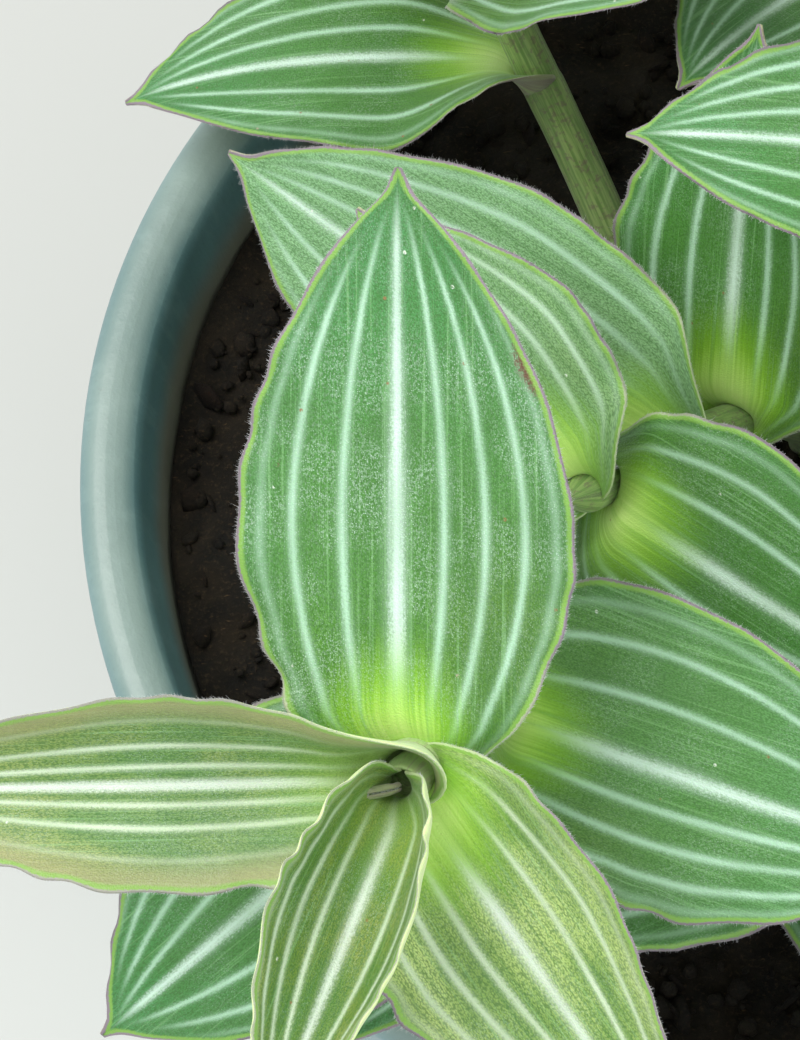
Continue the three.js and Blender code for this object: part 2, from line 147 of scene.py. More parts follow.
def piece(name, points, faces, materials, slot, nodes, kinds=None, **fields):
    """A mesh from points in millimetres and triangles, with vector or plain attributes at its points. It
    rides with the plant, takes the materials it is given, and stands for CAD nodes. The slot is not used."""
    mesh = bpy.data.meshes.new(name)
    mesh.vertices.add(len(points))
    mesh.vertices.foreach_set("co", (np.asarray(points) * MM).astype(np.float32).ravel())
    mesh.loops.add(faces.size)
    mesh.loops.foreach_set("vertex_index", faces.astype(np.int32).ravel())
    mesh.polygons.add(len(faces))
    mesh.polygons.foreach_set("loop_start", np.arange(0, faces.size, 3, dtype=np.int32))
    mesh.polygons.foreach_set("use_smooth", np.ones(len(faces), bool))
    for material in materials:
        mesh.materials.append(material)
    if kinds is not None:
        mesh.polygons.foreach_set("material_index", kinds.astype(np.int32))
    for key, values in fields.items():
        values = np.asarray(values, np.float32)
        kind, place = ("FLOAT_VECTOR", "vector") if values.ndim == 2 else ("FLOAT", "value")
        mesh.attributes.new(key, kind, "POINT").data.foreach_set(place, values.ravel())
    mesh.update(calc_edges=True)
    made = placed(name, mesh)
    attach(made, "root")
    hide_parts(*nodes)
    return made


def colour(red, green, blue):
    """A screen colour, each part from 0 to 255, as the linear colour that shaders use."""
    share = np.array([red, green, blue]) / 255
    linear = np.where(share <= 0.04045, share / 12.92, ((share + 0.055) / 1.055) ** 2.4)
    return (*(float(part) for part in linear), 1.0)


class Shade:
    """A value, place or colour over a surface: the output of a material's node. Sums, products and steps of
    it add their own nodes to the same tree."""

    def __init__(self, output):
        self.output, self.tree = output, output.id_data

    def __add__(self, other):
        return calc("ADD", self, other)

    def __sub__(self, other):
        return calc("SUBTRACT", self, other)

    def __rsub__(self, other):
        return calc("SUBTRACT", other, self)

    def __mul__(self, other):
        return calc("MULTIPLY", self, other)

    def step(self, low, high):
        """A smooth step from 0 at low to 1 at high, either way round."""
        settings = {"interpolation_type": "SMOOTHSTEP"}
        return node(self.tree, "MapRange", settings, Value=self, From_Min=low, From_Max=high)[0]

    def scaled(self, *by):
        """A place with each of its three parts multiplied by its own number."""
        return node(self.tree, "VectorMath", {"operation": "MULTIPLY"}, in_0=self, in_1=by)[0]


def node(tree, kind, settings=None, **inputs):
    """A new shader node's outputs. Inputs are plain values or shades; a name such as in_2 is an input's
    number."""
    made = tree.nodes.new("ShaderNode" + kind)
    for key, value in (settings or {}).items():
        setattr(made, key, value)
    for key, value in inputs.items():
        place = int(key[3:]) if key.startswith("in_") else key.replace("_", " ")
        if isinstance(value, Shade):
            tree.links.new(value.output, made.inputs[place])
        else:
            made.inputs[place].default_value = value
    return [Shade(output) for output in made.outputs]


def calc(operation, a, b=0.0):
    """One step of arithmetic on two values, of which one may be a plain number."""
    tree = a.tree if isinstance(a, Shade) else b.tree
    return node(tree, "Math", {"operation": operation}, in_0=a, in_1=b)[0]


def blend(share, a, b, way="MIX"):
    """Two colours mixed by a share. Three plain numbers stand for a screen colour."""
    a, b = (colour(*each) if isinstance(each, tuple) else each for each in (a, b))
    return node(share.tree, "Mix", {"data_type": "RGBA", "blend_type": way}, in_0=share, in_6=a, in_7=b)[2]


def lay(share, under, red, green, blue):
    """A screen colour laid over another by a share."""
    return blend(share, under, (red, green, blue))


def noise(place, scale, detail=2.0, rough=0.5):
    """Cloudy values about 0.5."""
    return node(place.tree, "TexNoise", Vector=place, Scale=scale, Detail=detail, Roughness=rough)[0]


def parts(vector):
    """The three parts of a place."""
    return node(vector.tree, "SeparateXYZ", Vector=vector)


def noted(tree, name, whole=False):
    """A number that the mesh carries at its points, or all three numbers of a place."""
    return node(tree, "Attribute", {"attribute_name": name})[1 if whole else 2]


def in_millimetres(tree):
    """The object's own coordinates, in millimetres."""
    return node(tree, "TexCoord")[3].scaled(1000, 1000, 1000)


def new_material(name, **constants):
    """A material with one Principled shader, whose plain values are set on its own sockets."""
    material = bpy.data.materials.new(name)
    material.use_nodes = True
    for key, value in constants.items():
        material.node_tree.nodes["Principled BSDF"].inputs[key.replace("_", " ")].default_value = value
    return material, material.node_tree


def feed(material, base, rough, height=None, depth=0.0):
    """Links a material's colour, roughness and bump height, whose depth is in millimetres, to its shader."""
    tree = material.node_tree
    taken = tree.nodes["Principled BSDF"].inputs
    tree.links.new(base.output, taken["Base Color"])
    tree.links.new(rough.output, taken["Roughness"])
    if height is not None:
        bump = node(tree, "Bump", Height=height, Distance=depth * MM)[0]
        tree.links.new(bump.output, taken["Normal"])
    return material


def peat_material():
    """Dark brown, painted near-black as shade, with lighter fibres and grit, a little shiny where it is wet.
    """
    material, tree = new_material("peat", Specular_IOR_Level=0.3)
    place = in_millimetres(tree)
    clods = noise(place, 0.16, 5.0, 0.62)
    grit = noise(place, 1.9, 6.0, 0.7)
    fibres = noise(place.scaled(0.5, 2.4, 2.0), 1.0, 3.0, 0.55)
    # Painted shade: these browns are darker than peat, to stand in for the deep shade inside the pot.
    base = blend(clods.step(0.34, 0.68), (16, 14, 10), (38, 31, 21))
    base = lay(grit.step(0.5, 0.78), base, 70, 57, 40)
    base = lay(fibres.step(0.66, 0.8), base, 98, 78, 53)
    base = blend(noted(tree, "tint"), base, (122, 88, 58), "OVERLAY")
    wet = noise(place, 0.09).step(0.42, 0.62)
    rough = node(tree, "MapRange", Value=wet, To_Min=0.94, To_Max=0.62)[0]
    return feed(material, base, rough, clods * 0.6 + grit * 0.5, 1.1)


def soil_surface():
    """Rings of points from the middle of the top outwards, over the edge, down the side and in to the middle
    of the underside, with lumps of three sizes on the top."""
    shares = np.linspace(1 / SOIL_RINGS, 1, SOIL_RINGS)
    turn = np.arange(SOIL_SIDES) / SOIL_SIDES * 2 * np.pi
    radius = (inside_radius(SOIL_TOP) - 2 * SOIL_GAP) * shares[:, None]
    x, y = radius * np.cos(turn), radius * np.sin(turn)
    rough = sum(height * lumps(x, y, width, seed) for width, height, seed in LUMPS)
    z = soil_height(x, y) + rough * (1 - 0.6 * shares[:, None] ** 8) - SOIL_SUNK
    low = FLOOR + SOIL_GAP
    low_radius = inside_radius(low) - SOIL_GAP
    under = places(low_radius * np.cos(turn), low_radius * np.sin(turn), low)
    rings = np.concatenate([places(x, y, z), under[None]])
    return closed_skin(rings, [0, 0, float(soil_height(0, 0)) - SOIL_SUNK], [0, 0, low], flipped=True)


def crumb_solids(count, seed):
    """Twenty-sided crumbs: the corners of an icosahedron pushed in and out at random, stretched, turned and
    strewn on the soil. One in six is a flat, pale chip of bark."""
    draw = np.random.default_rng(seed)
    gold = (1 + 5 ** 0.5) / 2
    plate = np.array([[-1, gold, 0], [1, gold, 0], [-1, -gold, 0], [1, -gold, 0]]) / np.hypot(1, gold)
    corners = np.concatenate([np.roll(plate, k, axis=1) for k in range(3)])
    sides = np.array([
        [0, 11, 5], [0, 5, 1], [0, 1, 7], [0, 7, 10], [0, 10, 11], [1, 5, 9], [5, 11, 4], [11, 10, 2],
        [10, 7, 6], [7, 1, 8], [3, 9, 4], [3, 4, 2], [3, 2, 6], [3, 6, 8], [3, 8, 9], [4, 9, 5],
        [2, 4, 11], [6, 2, 10], [8, 6, 7], [9, 8, 1],
    ])
    bark = draw.random(count) < BARK_SHARE
    size = draw.gamma(3.0, 0.26, count).clip(0.25, 2.4)
    stretch = np.where(bark[:, None], [1.9, 1.1, 0.4], draw.uniform(0.6, 1.2, (count, 3)))
    solid = corners * (1 + draw.uniform(-0.3, 0.3, (count, 12, 1))) * (size[:, None] * stretch)[:, None, :]
    spin, _ = np.linalg.qr(draw.normal(size=(count, 3, 3)))
    spin *= np.sign(np.linalg.det(spin))[:, None, None]
    solid = np.einsum("kij,knj->kni", spin, solid)
    radius = (MOUTH_RADIUS - CRUMB_EDGE) * np.sqrt(draw.random(count))
    turn = draw.uniform(0, 2 * np.pi, count)
    x, y = radius * np.cos(turn), radius * np.sin(turn)
    solid += places(x, y, soil_height(x, y) - SOIL_SUNK / 2 + 0.2 * size)[:, None, :]
    faces = sides[None] + 12 * np.arange(count)[:, None, None]
    tint = np.where(bark, draw.uniform(0.3, 0.9, count), draw.uniform(0, 0.35, count))
    return solid.reshape(-1, 3), faces.reshape(-1, 3), np.repeat(tint, 12)


peat = peat_material()
soil_points, soil_faces = soil_surface()
piece("soil_surface", soil_points, soil_faces, [peat], "soil", ["soil"], tint=np.zeros(len(soil_points)))
crumb_points, crumb_faces, crumb_tint = crumb_solids(CRUMBS, 4)
piece("soil_crumbs", crumb_points, crumb_faces, [peat], "soil", ["soil"], tint=crumb_tint)


# The pot. Turned stoneware with a straight, tapered wall, a band round the rim and four drain holes in the
# floor, glazed in grey teal that has run thin on the edges. The foot is left bare.

RIM_RADIUS = 83.5
RIM_DEPTH = 20
RIM_STEP = 6
RIM_ROUND = 3.2
DRAIN_RADIUS = 5
DRAIN_CIRCLE = 30
POT_TURNS = 192
PROFILE_STEP = 2.5
SHARP_ANGLE = 50
TURNING_RINGS = 0.05  # half their depth
BAND = POT_HEIGHT - RIM_DEPTH


def pot_material():
    """Satin glaze: slow clouds of grey and teal, fine pits, a paler line where it thins on the rim's edges,
    with a painted highlight on the rim's top, a darker, browner band on the inner wall just above the soil,
    and bare clay under the foot."""
    material, tree = new_material(
        "pot_glaze", Specular_IOR_Level=0.5, Coat_Weight=0.25, Coat_Roughness=0.18)
    place = in_millimetres(tree)
    height = parts(place)[2]
    clouds = noise(place, 0.03, 4.0, 0.55)
    streaks = noise(place.scaled(0.35, 0.35, 0.05), 1.0, 3.0, 0.6)
    pits = noise(place, 1.6, 3.0, 0.7)
    base = blend(clouds.step(0.32, 0.68), (94, 132, 136), (116, 156, 160))
    base = lay(streaks.step(0.48, 0.75) * 0.3, base, 142, 176, 178)
    base = lay(pits.step(0.6, 0.74) * 0.35, base, 58, 78, 80)
    wobble = (clouds - 0.5) * 3.0
    level = height + wobble
    # The rim's top is paler: partly glaze run thin on the edge, partly a painted highlight where light falls
    # on it.
    top = level.step(POT_HEIGHT - 2.4, POT_HEIGHT + 0.2) * 0.55
    lip = calc("ABSOLUTE", level - (BAND + 3)).step(1.4, 0.2) * 0.5
    base = lay(calc("MAXIMUM", top, lip), base, 168, 178, 166)
    across = node(tree, "VectorMath", {"operation": "LENGTH"}, in_0=place.scaled(1, 1, 0))[1]
    taper = (MOUTH_RADIUS - FOOT_RADIUS + WALL) / (POT_HEIGHT - FLOOR)
    mid_wall = FOOT_RADIUS - WALL / 2
    inside = (across - height * taper).step(mid_wall + 0.3, mid_wall - 0.3)
    # A darker, browner band on the inner wall just above the soil.
    band_above_soil = inside * (level + wobble).step(SOIL_TOP + 6, SOIL_TOP)
    base = lay(band_above_soil * 0.75, base, 120, 108, 88)
    bare = level.step(2.4, 1.2)
    base = lay(bare, base, 176, 150, 122)
    rough = calc("MAXIMUM", bare, band_above_soil) * 0.4 + 0.34 + clouds * 0.12
    return feed(material, base, rough, pits * 0.35 + streaks, 0.12)


def running(steps, axis=0):
    """The sums of the steps, from 0 before the first."""
    return np.insert(np.cumsum(steps, axis=axis), 0, 0, axis=axis)


def rounded_profile(corners, steps=7):
    """A profile through [radius, height, rounding] corners, each rounded by a quadratic curve that starts
    and ends at the rounding's distance from it."""
    corners = np.array(corners, float)
    made = [corners[0, :2]]
    for before, here, after in zip(corners, corners[1:], corners[2:]):
        ways = (before - here)[:2], (after - here)[:2]
        start, end = (here[:2] + way / np.hypot(*way) * here[2] for way in ways)
        for s in np.linspace(0, 1, steps) if here[2] else [0.0]:
            made.append((1 - s) ** 2 * start + 2 * s * (1 - s) * here[:2] + s * s * end)
    made.append(corners[-1, :2])
    return np.array(made)


def pot_surface():
    """The profile turned about the vertical axis. Its wall carries turning rings a tenth of a millimetre
    deep."""
    profile = rounded_profile([
        [0, 0, 0], [FOOT_RADIUS - 1, 0, 2.2], [FOOT_RADIUS + 0.2, 1.2, 1.0],
        [RIM_RADIUS - RIM_STEP, BAND, 1.2], [RIM_RADIUS - 1, BAND + 3, 1.6],
        [RIM_RADIUS, POT_HEIGHT, RIM_ROUND], [MOUTH_RADIUS, POT_HEIGHT, RIM_ROUND],
        [inside_radius(FLOOR), FLOOR, 4], [0, FLOOR, 0],
    ])
    along = running(np.hypot(*np.diff(profile, axis=0).T))
    fine = np.unique(np.concatenate([along, np.arange(0, along[-1], PROFILE_STEP)]))[1:-1]
    radius, height = np.interp(fine, along, profile[:, 0]), np.interp(fine, along, profile[:, 1])
    wall = smooth(2, 10, height) * smooth(0, 4, radius - inside_radius(height) - 2)
    radius = radius - TURNING_RINGS * wall * (1 + np.sin(height * 1.7 + np.sin(height * 0.31)))
    turn = np.arange(POT_TURNS) / POT_TURNS * 2 * np.pi
    rings = places(radius[:, None] * np.cos(turn), radius[:, None] * np.sin(turn), height[:, None])
    return closed_skin(rings, [0, 0, 0], [0, 0, FLOOR])


def drill_holes(body):
    """Cuts the four drain holes with round rods through the floor, and keeps the result as the mesh."""
    rods = []
    for quarter in range(4):
        turn = (quarter + 0.5) * np.pi / 2
        place = (DRAIN_CIRCLE * MM * np.cos(turn), DRAIN_CIRCLE * MM * np.sin(turn), FLOOR * MM / 2)
        bpy.ops.mesh.primitive_cylinder_add(
            vertices=40, radius=DRAIN_RADIUS * MM, depth=5 * FLOOR * MM, location=place)
        rods.append(bpy.context.object)
        cut = body.modifiers.new("drain", "BOOLEAN")
        cut.operation, cut.object, cut.solver = "DIFFERENCE", rods[-1], "EXACT"
    graph = bpy.context.evaluated_depsgraph_get()
    body.data = bpy.data.meshes.new_from_object(body.evaluated_get(graph))
    body.modifiers.clear()
    for rod in rods:
        bpy.data.objects.remove(rod)
    body.data.set_sharp_from_angle(angle=np.radians(SHARP_ANGLE))


pot_points, pot_faces = pot_surface()
drill_holes(piece("pot_body", pot_points, pot_faces, [pot_material()], "pot_glaze", ["pot"]))


# The stems. Nine juicy green stems rise out of the soil and lean out over the rim. Below each leaf the stem
# is wrapped in the leaf's own short, papery sheath, flushed with purple.

STEM_RADIUS = 2.6
STEM_TAPER = 0.15
STEM_TIP = 0.7
STEM_ROOTS = (-10.0, -4.0)  # heights of the lowest circles, below the foot
STEM_END = 1.4  # length of the round end
STEM_RINGS = 160
STEM_SIDES = 26
STEM_RIBS = 9
RIB_SWELL = 0.012
CURVE_REACH = 0.38
SHEATH_LENGTH = 7
SHEATH_LIP = 0.1
SHEATH_EDGE = 0.9
MOUTH_CLEAR = 1.0
MOUTH_DEPTH = 3.0
FRAME_STEPS = 24
LEAF_LENGTH = 57
LEAF_HALF_WIDTH = 17.2
TURN = 137.5
RIM_CLEAR = 4
UP = np.array([0.0, 0.0, 1.0])


def unit(vector):
    """A vector, or each of an array of them, at length 1."""
    return vector / np.linalg.norm(vector, axis=-1, keepdims=True)


def stem_line(shoot):
    """The four control points of a stem's cubic curve. It leaves the soil along "rise" and ends along
    "heading", and each end keeps its direction for a share of the way between them."""
    foot = np.array([*shoot.foot, float(soil_height(*shoot.foot)) + 1])
    tip = np.array(shoot.tip, float) + POT_HEIGHT * UP
    reach = CURVE_REACH * np.linalg.norm(tip - foot)
    rise, heading = unit(np.array(shoot.rise)), unit(np.array(shoot.heading))
    return np.array([foot, foot + reach * rise, tip - reach * heading, tip])


def stem_points(line, q):
    """Points at shares q of the cubic curve."""
    q = np.asarray(q, float)[..., None]
    early = (1 - q) ** 3 * line[0] + 3 * (1 - q) ** 2 * q * line[1]
    return early + 3 * (1 - q) * q**2 * line[2] + q**3 * line[3]


def stem_headings(line, q):
    """Directions of the cubic curve at shares q: its first derivative at length 1."""
    q = np.asarray(q, float)[..., None]
    first, second, third = np.diff(line, axis=0)
    return unit((1 - q) ** 2 * first + 2 * (1 - q) * q * second + q**2 * third)


def stem_frame(line, q):
    """The place at q, and the directions along, to the side and across. The side is carried up in small
    steps, each without its part along the stem, so that it never turns about the stem."""
    side = np.array([1.0, 0, 0])
    for along in stem_headings(line, q * np.linspace(0, 1, FRAME_STEPS + 1)):
        side = unit(side - along * (side @ along))
    return SimpleNamespace(at=stem_points(line, q), along=along, side=side, across=np.cross(along, side))


def stem_radius(q):
    """The stem thins evenly to its tip, and more quickly over the last few leaves."""
    return STEM_RADIUS * (1 - STEM_TAPER * q) * (1 - STEM_TIP * smooth(0.93, 1, q))


def leaf(q, azimuth, size, open, **more):
    """A leaf at q along its stem: its size as a share of a full leaf and its angle from the stem."""
    usual = dict(
        q=q, azimuth=azimuth, length=LEAF_LENGTH * size, half_width=LEAF_HALF_WIDTH * size**0.9, open=open,
        droop=6, cup=14, clasp=160, shoulder=0.42, fade=0.042, roll=30, light=0, wave=0.8, phase=0, skew=0,
        shift=0, room=0, grip=0, point=1.7, widest=0.38, thick=1.0, grid=(44, 12), name="",
        left=(0.36, 0.66, 0.87), right=(0.28, 0.52, 0.75, 0.91), age=1.0, bloom=0.45, pale=0.0, blemishes=(),
    )
    return SimpleNamespace(**{**usual, **more})


def leaves_by_rule(shoot, line):
    """Leaves from the lowest to the youngest, a golden turn apart. Older leaves are larger and open further;
    those that point to the middle of the pot are smaller and steeper. None opens so far that its point drops
    below the rim."""
    made = []
    for k in range(shoot.count):
        s = k / (shoot.count - 1)
        q = shoot.bare + (1 - shoot.bare) * (1 - (1 - s) ** 1.5)
        azimuth = shoot.turn + k * TURN
        here = stem_frame(line, q)
        out = here.side * np.cos(np.radians(azimuth)) + here.across * np.sin(np.radians(azimuth))
        reach = np.hypot(*here.at[:2])
        inward = max(0, -(out[:2] @ here.at[:2]) / (reach + 10))
        size = (1 - 0.6 * s**4) * (0.88 + 0.12 * smooth(0, 0.4, s)) * (1 - 0.25 * inward)
        droop = 8 + 20 * (1 - s)
        drop = (here.at[2] - POT_HEIGHT - RIM_CLEAR) / (LEAF_LENGTH * size)
        tilt = np.hypot(here.along[2], out[2])
        rim = np.arctan2(out[2], here.along[2]) + np.arccos(np.clip(-drop / tilt, -1, 1))
        spread = min((105 - 93 * s**2.2) * (1 - 0.3 * inward), np.degrees(rim) - droop / 2)
        made.append(leaf(q, azimuth, size, spread, droop=droop, cup=14 + 140 * s**8, light=0.7 * (1 - s**4),
                         phase=k, age=1 - 0.8 * s**3))
    return made


def shoot_from(name, foot, rise, tip, heading, **more):
    """A leafy stem: its foot on the soil, its tip above the rim's middle and its directions at both."""
    made = SimpleNamespace(name=name, foot=foot, rise=rise, tip=tip, heading=heading, **more)
    made.line = stem_line(made)
    made.node = "leafy_stem_" + name
    if not hasattr(made, "leaves"):
        made.leaves = leaves_by_rule(made, made.line)
    return made


SHOOTS = [
    shoot_from("front_left", (-14, -7), (-0.26, -0.5, 0.83), (-46.4, -58.4, 57.2), (-0.22, -0.48, 0.84),
               leaves=[
        leaf(0.5, 243, 0.9, 62, grid=(60, 18)),
        leaf(0.66, 348, 1.0, 86, half_width=17.8, skew=-0.12, shift=-1.4, phase=1, grid=(110, 36),
             name="lower_right_leaf", pale=0.15),
        leaf(0.77, 222, 0.95, 84, grid=(60, 18)),
        leaf(0.885, 88.8, 1.1, 88, half_width=17.2, skew=0.07, shift=-1.2, shoulder=0.65, point=1.87,
             widest=0.43, droop=2, phase=1, grid=(170, 56), name="great_leaf", bloom=1,
             left=(0.346, 0.654, 0.855), right=(0.265, 0.5, 0.724, 0.9),
             blemishes=((0.69, 0.955, 1.5, 1.0), (0.52, -0.76, 0.35, 0.7), (0.035, 0.5, 0.28, 1.4))),
        leaf(0.92, 308, 0.85, 84, half_width=14, cup=45, fade=0.035, phase=2, grid=(110, 36), age=0.55,
             name="near_right_leaf", blemishes=((0.13, -0.93, 0.9, 0.5), (0.2, -0.96, 0.6, 0.5))),
        leaf(0.95, 183, 1.05, 82, half_width=11.2, cup=56, clasp=167, grip=78, fade=0.09, roll=70, room=1.5,
             shift=0.8, phase=3, grid=(130, 44), name="left_leaf", age=0.4, pale=0.15,
             left=(0.18, 0.39, 0.69), right=(0.18, 0.39, 0.69)),
        leaf(0.99, 256, 0.7, 45, half_width=10.5, shoulder=0.25, skew=0.05, cup=65, clasp=175, fade=0.35,
             roll=60, shift=-1, room=1.1, phase=4, grid=(100, 40), age=0.3, name="young_leaf"),
        leaf(1.0, 184, 0.13, 42, half_width=1.3, thick=0.4, cup=172, clasp=170, fade=0.3, roll=0, wave=0,
             grid=(50, 14), age=0.1, name="newest_leaf"),
    ]),
    shoot_from("middle_left", (2, 6), (-0.25, -0.15, 0.95), (-29, -22.5, 42.7), (-0.45, -0.5, 0.74), leaves=[
        leaf(0.4, 70, 0.85, 75, grid=(60, 18)),
        leaf(0.58, 139, 1.1, 80, grid=(100, 30), name="pale_leaf", age=0.9, pale=0.7),
        leaf(0.85, 326, 0.88, 84, half_width=16, droop=8, grid=(80, 24)),
        leaf(0.93, 120, 0.68, 86, half_width=15.5, grid=(80, 26), name="small_leaf", age=0.8, pale=0.5),
        leaf(1.0, 200, 0.25, 70, cup=60, clasp=90, fade=0.3, roll=0, wave=0, age=0.2),
    ]),
    shoot_from("front", (4, -26), (0, -0.3, 0.9), (3, -36, 14), (0, -0.2, 0.9), turn=290, count=5, bare=0.45),
    shoot_from("back_left", (-18, 24), (-0.3, 0.5, 0.8), (-42, 60, 40), (-0.2, 0.3, 0.9),
               turn=180, count=5, bare=0.45),
    shoot_from("back", (8, 36), (0.1, 0.5, 0.8), (14, 76, 52), (0.1, 0.3, 0.9), turn=230, count=7, bare=0.4),
    shoot_from("back_right", (32, 20), (0.5, 0.3, 0.8), (70, 42, 44), (0.3, 0.2, 0.9),
               turn=130, count=7, bare=0.4),
    shoot_from("right", (36, -12), (0.5, -0.2, 0.8), (92, -24, 22), (0.8, -0.1, 0.4),
               turn=280, count=7, bare=0.4),
    shoot_from("front_right", (28, -30), (0.3, -0.5, 0.8), (46, -72, 38), (0.2, -0.3, 0.9),
               turn=70, count=7, bare=0.4),
    shoot_from("middle", (18, 4), (0.1, 0.1, 0.95), (22, 8, 80), (0, 0, 1), turn=260, count=8, bare=0.5),
]


def stem_material():
    """Juicy green, darker and purple in long fine lines, with the sheaths paler and drier."""
    material, tree = new_material(
        "stem", Specular_IOR_Level=0.45, Subsurface_Weight=0.2, Subsurface_Radius=(0.002, 0.003, 0.001),
        Sheen_Weight=0.2)
    skin = noted(tree, "skin", whole=True)
    sheath = noted(tree, "sheath")
    lines = noise(skin.scaled(2.6, 0.12, 1.0), 1.0, 3.0, 0.6)
    spots = noise(skin, 1.3, 3.0, 0.6)
    base = blend(lines.step(0.36, 0.66), (112, 146, 78), (158, 184, 112))
    base = lay(spots.step(0.5, 0.68) * 0.55, base, 120, 88, 96)
    papery = blend(lines.step(0.5, 0.66) * 0.4, (178, 204, 136), (150, 124, 128))
    base = blend(sheath * 0.9, base, papery)
    return feed(material, base, sheath * 0.2 + 0.38, lines + spots * 0.3, 0.1)


def open_mouth(one, length, q, radius, above):
    """Opens the sheath of a leaf that stands off the stem: the circles just above give way to one in over
    the sheath's wall and one down inside, on the stem."""
    mouth = np.searchsorted(q, one.q + 1e-6)
    kept = (np.arange(len(q)) < mouth) | ((q - one.q) * length >= MOUTH_CLEAR)
    q, radius, above = q[kept], radius[kept], above[kept]
    floor = one.q - MOUTH_DEPTH / length
    return (
        np.insert(q, mouth, [one.q, floor]),
        np.insert(radius, mouth, [radius[mouth - 1] - 0.3, stem_radius(floor) + 0.05]),
        np.insert(above, mouth, [0.2, 0.0]),
    )


def stem_surface(shoot):
    """Circles carried up the stem's line. Along each sheath the radius swells smoothly by the sheath's wall
    and falls back just above the leaf; the last circles close to a round end."""
    line = shoot.line
    length = np.linalg.norm(np.diff(stem_points(line, np.linspace(0, 1, 201)), axis=0), axis=1).sum()
    last = min(shoot.leaves[-1].q + 0.02, 1.0)
    marks = [np.linspace(0, last, STEM_RINGS)]
    marks += [one.q + np.linspace(-0.6, 1.0, 9) / length for one in shoot.leaves]
    q = np.unique(np.clip(np.concatenate(marks), 0, last).round(5))
    above = np.zeros(len(q))
    for one in shoot.leaves:
        mm_below = (one.q - q) * length
        wrapped = smooth(SHEATH_LENGTH, 0, mm_below) * smooth(-SHEATH_EDGE, 0, mm_below)
        above = np.maximum(above, (SHEATH_LIP + one.room) * wrapped)
    round_end = np.sqrt(np.clip(1 - np.clip(1 - (last - q) * length / STEM_END, 0, 1) ** 2, 0.01, 1))
    radius = (stem_radius(q) + above) * round_end
    for one in shoot.leaves:
        if one.room:
            q, radius, above = open_mouth(one, length, q, radius, above)
    frames = [stem_frame(line, one) for one in q]
    at, side, across = (np.array([getattr(one, key) for one in frames]) for key in ("at", "side", "across"))
    roots = np.array(STEM_ROOTS)
    at = np.concatenate([at[0] + roots[:, None] * UP, at])
    side, across = (np.concatenate([each[:1], each[:1], each]) for each in (side, across))
    radius = np.concatenate([[STEM_RADIUS] * len(roots), radius])
    turn = np.arange(STEM_SIDES) / STEM_SIDES * 2 * np.pi
    ribs = 1 + RIB_SWELL * np.sin(turn * STEM_RIBS)
    circle = np.cos(turn)[:, None] * side[:, None] + np.sin(turn)[:, None] * across[:, None]
    rings = at[:, None] + circle * (radius[:, None] * ribs)[..., None]
    points, faces = closed_skin(rings, at[0], at[-1])
    height = np.concatenate([roots, q * length])
    skin = places(turn * STEM_RADIUS, height[:, None], shoot.foot[0])
    skin = np.concatenate([skin.reshape(-1, 3), [[0, height[0], 0], [0, height[-1], 0]]])
    sheath = np.repeat([0] * len(roots) + [*smooth(0, 0.5, above)], STEM_SIDES)
    return points, faces, np.zeros(len(faces), bool), {"skin": skin, "sheath": [*sheath, 0, 0]}


def foliage(shoot, name, materials, meshes):
    """A piece of a leafy stem, from meshes that each have points, triangles, the triangles' materials and
    fields. They are put end to end, with the triangles numbered on."""
    starts = np.cumsum([0] + [len(mesh[0]) for mesh in meshes])
    points, faces, kinds = (np.concatenate([mesh[k] for mesh in meshes]) for k in range(3))
    faces += np.repeat(starts[:-1], [len(mesh[1]) for mesh in meshes])[:, None]
    fields = {key: np.concatenate([mesh[3][key] for mesh in meshes]) for key in meshes[0][3]}
    piece(shoot.name + "_" + name, points, faces, materials, "foliage", [shoot.node], kinds, **fields)


stem_finish = stem_material()
for shoot in SHOOTS:
    foliage(shoot, "stem", [stem_finish], [stem_surface(shoot)])


# The leaves. Each is a thin, soft blade with a broad base and a drawn-out point. Its foot wraps the stem as
# a funnel; silvery stripes run from foot to point, and the margin is waved, lime green with a purple, downy
# edge.

TIP_END = 0.985
TIP_LENGTH = 0.1
FOOT_ANGLE = 8
BEND_END = 0.14
RIB_STEPS = 40
RIB_FINE = 240
POINT_DRAWN = 0.3
NECK = 0.28
NECK_PLACE = 0.92
NECK_SPAN = 0.05
WAVES = 3
WAVE_FADE = 0.3
WAVE_REST = 0.25
USUAL_WAVE = 0.8
CRIMPS = 8.3
CRIMP = 0.2
FOOT_CRIMP = 0.5
CRIMP_FADE = 0.15
ROLL_FADE = 0.22
FOOT_SUNK = 0.3
THICKNESS = 0.7
SWELL = 0.05  # of the skin between the stripes
GROOVE = 0.16
GROOVE_WIDTH = 0.8
STRIPE_WIDTH = 0.5
MIDRIB_WIDTH = 0.95


def outline(one, t):
    """Half the width at t, as a share of the widest: a square law up to the widest place, then a power law.
    It draws in a little more just before the point."""
    low = 1 - one.shoulder * np.clip((one.widest - t) / one.widest, 0, 1) ** 2
    s = np.clip((t - one.widest) / (1 - one.widest), 0, 1)
    neck = 1 - NECK * np.exp(-(((s - NECK_PLACE) / NECK_SPAN) ** 2))
    return np.where(t < one.widest, low, neck * (1 - s**one.point) ** (1 + POINT_DRAWN * s**6))


def read_along(where, marks, values):
    """Each of the three columns of values, given at marks along a line, read off where it is asked."""
    return np.stack([np.interp(where, marks, column) for column in values.T], axis=-1)


